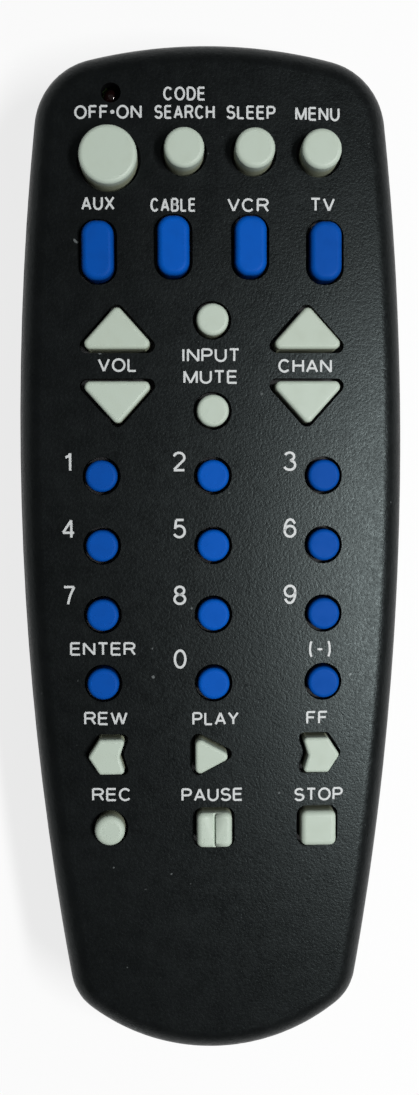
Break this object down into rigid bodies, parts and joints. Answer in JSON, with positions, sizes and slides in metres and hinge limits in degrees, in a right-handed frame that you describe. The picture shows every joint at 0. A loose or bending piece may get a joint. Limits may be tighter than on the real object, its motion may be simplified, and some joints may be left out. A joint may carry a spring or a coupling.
{
  "type": "universal remote control",
  "caption": "Hand-held infrared remote control with a crowned black case, rubber keys in rows and a sliding battery door on the back.",
  "frame": {"origin": "middle of the outline on the plane of the back face, which the remote lies on", "axes": "+Z out of the key face, +Y along the case to the infrared window, +X to the right of the keys"},
  "size_m": [0.0624, 0.1632, 0.0253],
  "materials": {
    "case_black": "fine spark-eroded texture, satin",
    "key_blue": "smooth silicone rubber, matt",
    "key_pale": "smooth silicone rubber, matt",
    "mat_rubber": "smooth silicone rubber",
    "board_laminate": "paper laminate with solder lacquer",
    "window_dark": "dark infrared-clear plastic, polished",
    "emitter_resin": "clear tinted resin",
    "lamp_resin": "tinted resin lamp, off",
    "cell_wrap": "plain printed wrap on a steel can",
    "contact_steel": "nickel-plated spring steel",
    "screw_steel": "zinc-plated",
    "chip_resin": "moulded epoxy",
    "capacitor_sleeve": "shrunk sleeve",
    "resonator_resin": "dipped ceramic",
    "resistor_ceramic": "glazed ceramic"
  },
  "bodies": {
    "case": {"battery_left": "cell_wrap", "battery_right": "cell_wrap", "board_screws": "screw_steel", "bottom_case": "case_black", "capacitor": "capacitor_sleeve", "case_screws": "screw_steel", "circuit_board": "board_laminate", "contact_bridge": "contact_steel", "contact_plate": "contact_steel", "contact_spring": "contact_steel", "controller_chip": "chip_resin", "indicator_led": "lamp_resin", "ir_emitter": "emitter_resin", "ir_window": "window_dark", "keypad_mat": "mat_rubber", "resistors": "resistor_ceramic", "resonator": "resonator_resin", "top_case": "case_black", "transistor": "chip_resin"},
    "door": {"battery_door": "case_black"},
    "key_0": {"key_0": "key_blue"},
    "key_1": {"key_1": "key_blue"},
    "key_2": {"key_2": "key_blue"},
    "key_3": {"key_3": "key_blue"},
    "key_4": {"key_4": "key_blue"},
    "key_5": {"key_5": "key_blue"},
    "key_6": {"key_6": "key_blue"},
    "key_7": {"key_7": "key_blue"},
    "key_8": {"key_8": "key_blue"},
    "key_9": {"key_9": "key_blue"},
    "key_channel_down": {"key_channel_down": "key_pale"},
    "key_channel_up": {"key_channel_up": "key_pale"},
    "key_code_search": {"key_code_search": "key_pale"},
    "key_dash": {"key_dash": "key_blue"},
    "key_enter": {"key_enter": "key_blue"},
    "key_forward": {"key_forward": "key_pale"},
    "key_input": {"key_input": "key_pale"},
    "key_menu": {"key_menu": "key_pale"},
    "key_mute": {"key_mute": "key_pale"},
    "key_off_on": {"key_off_on": "key_pale"},
    "key_pause": {"key_pause": "key_pale"},
    "key_play": {"key_play": "key_pale"},
    "key_record": {"key_record": "key_pale"},
    "key_rewind": {"key_rewind": "key_pale"},
    "key_sleep": {"key_sleep": "key_pale"},
    "key_source_1": {"key_source_1": "key_blue"},
    "key_source_2": {"key_source_2": "key_blue"},
    "key_source_3": {"key_source_3": "key_blue"},
    "key_source_4": {"key_source_4": "key_blue"},
    "key_stop": {"key_stop": "key_pale"},
    "key_volume_down": {"key_volume_down": "key_pale"},
    "key_volume_up": {"key_volume_up": "key_pale"}
  },
  "joints": [
    {"name": "door_slide", "type": "slide", "parent": "case", "child": "door", "axis": [0, -1, 0], "range_m": [0, 0.062]},
    {"name": "press_0", "type": "slide", "parent": "case", "child": "key_0", "axis": [0, 0, -1], "range_m": [0, 0.001], "stiffness_N_per_m": 350},
    {"name": "press_1", "type": "slide", "parent": "case", "child": "key_1", "axis": [0, 0, -1], "range_m": [0, 0.001], "stiffness_N_per_m": 350},
    {"name": "press_2", "type": "slide", "parent": "case", "child": "key_2", "axis": [0, 0, -1], "range_m": [0, 0.001], "stiffness_N_per_m": 350},
    {"name": "press_3", "type": "slide", "parent": "case", "child": "key_3", "axis": [0, 0, -1], "range_m": [0, 0.001], "stiffness_N_per_m": 350},
    {"name": "press_4", "type": "slide", "parent": "case", "child": "key_4", "axis": [0, 0, -1], "range_m": [0, 0.001], "stiffness_N_per_m": 350},
    {"name": "press_5", "type": "slide", "parent": "case", "child": "key_5", "axis": [0, 0, -1], "range_m": [0, 0.001], "stiffness_N_per_m": 350},
    {"name": "press_6", "type": "slide", "parent": "case", "child": "key_6", "axis": [0, 0, -1], "range_m": [0, 0.001], "stiffness_N_per_m": 350},
    {"name": "press_7", "type": "slide", "parent": "case", "child": "key_7", "axis": [0, 0, -1], "range_m": [0, 0.001], "stiffness_N_per_m": 350},
    {"name": "press_8", "type": "slide", "parent": "case", "child": "key_8", "axis": [0, 0, -1], "range_m": [0, 0.001], "stiffness_N_per_m": 350},
    {"name": "press_9", "type": "slide", "parent": "case", "child": "key_9", "axis": [0, 0, -1], "range_m": [0, 0.001], "stiffness_N_per_m": 350},
    {"name": "press_channel_down", "type": "slide", "parent": "case", "child": "key_channel_down", "axis": [0, 0, -1], "range_m": [0, 0.001], "stiffness_N_per_m": 350},
    {"name": "press_channel_up", "type": "slide", "parent": "case", "child": "key_channel_up", "axis": [0, 0, -1], "range_m": [0, 0.001], "stiffness_N_per_m": 350},
    {"name": "press_code_search", "type": "slide", "parent": "case", "child": "key_code_search", "axis": [0, 0, -1], "range_m": [0, 0.001], "stiffness_N_per_m": 350},
    {"name": "press_dash", "type": "slide", "parent": "case", "child": "key_dash", "axis": [0, 0, -1], "range_m": [0, 0.001], "stiffness_N_per_m": 350},
    {"name": "press_enter", "type": "slide", "parent": "case", "child": "key_enter", "axis": [0, 0, -1], "range_m": [0, 0.001], "stiffness_N_per_m": 350},
    {"name": "press_forward", "type": "slide", "parent": "case", "child": "key_forward", "axis": [0, 0, -1], "range_m": [0, 0.001], "stiffness_N_per_m": 350},
    {"name": "press_input", "type": "slide", "parent": "case", "child": "key_input", "axis": [0, 0, -1], "range_m": [0, 0.001], "stiffness_N_per_m": 350},
    {"name": "press_menu", "type": "slide", "parent": "case", "child": "key_menu", "axis": [0, 0, -1], "range_m": [0, 0.001], "stiffness_N_per_m": 350},
    {"name": "press_mute", "type": "slide", "parent": "case", "child": "key_mute", "axis": [0, 0, -1], "range_m": [0, 0.001], "stiffness_N_per_m": 350},
    {"name": "press_off_on", "type": "slide", "parent": "case", "child": "key_off_on", "axis": [0, 0, -1], "range_m": [0, 0.001], "stiffness_N_per_m": 350},
    {"name": "press_pause", "type": "slide", "parent": "case", "child": "key_pause", "axis": [0, 0, -1], "range_m": [0, 0.001], "stiffness_N_per_m": 350},
    {"name": "press_play", "type": "slide", "parent": "case", "child": "key_play", "axis": [0, 0, -1], "range_m": [0, 0.001], "stiffness_N_per_m": 350},
    {"name": "press_record", "type": "slide", "parent": "case", "child": "key_record", "axis": [0, 0, -1], "range_m": [0, 0.001], "stiffness_N_per_m": 350},
    {"name": "press_rewind", "type": "slide", "parent": "case", "child": "key_rewind", "axis": [0, 0, -1], "range_m": [0, 0.001], "stiffness_N_per_m": 350},
    {"name": "press_sleep", "type": "slide", "parent": "case", "child": "key_sleep", "axis": [0, 0, -1], "range_m": [0, 0.001], "stiffness_N_per_m": 350},
    {"name": "press_source_1", "type": "slide", "parent": "case", "child": "key_source_1", "axis": [0, 0, -1], "range_m": [0, 0.001], "stiffness_N_per_m": 350},
    {"name": "press_source_2", "type": "slide", "parent": "case", "child": "key_source_2", "axis": [0, 0, -1], "range_m": [0, 0.001], "stiffness_N_per_m": 350},
    {"name": "press_source_3", "type": "slide", "parent": "case", "child": "key_source_3", "axis": [0, 0, -1], "range_m": [0, 0.001], "stiffness_N_per_m": 350},
    {"name": "press_source_4", "type": "slide", "parent": "case", "child": "key_source_4", "axis": [0, 0, -1], "range_m": [0, 0.001], "stiffness_N_per_m": 350},
    {"name": "press_stop", "type": "slide", "parent": "case", "child": "key_stop", "axis": [0, 0, -1], "range_m": [0, 0.001], "stiffness_N_per_m": 350},
    {"name": "press_volume_down", "type": "slide", "parent": "case", "child": "key_volume_down", "axis": [0, 0, -1], "range_m": [0, 0.001], "stiffness_N_per_m": 350},
    {"name": "press_volume_up", "type": "slide", "parent": "case", "child": "key_volume_up", "axis": [0, 0, -1], "range_m": [0, 0.001], "stiffness_N_per_m": 350}
  ]
}
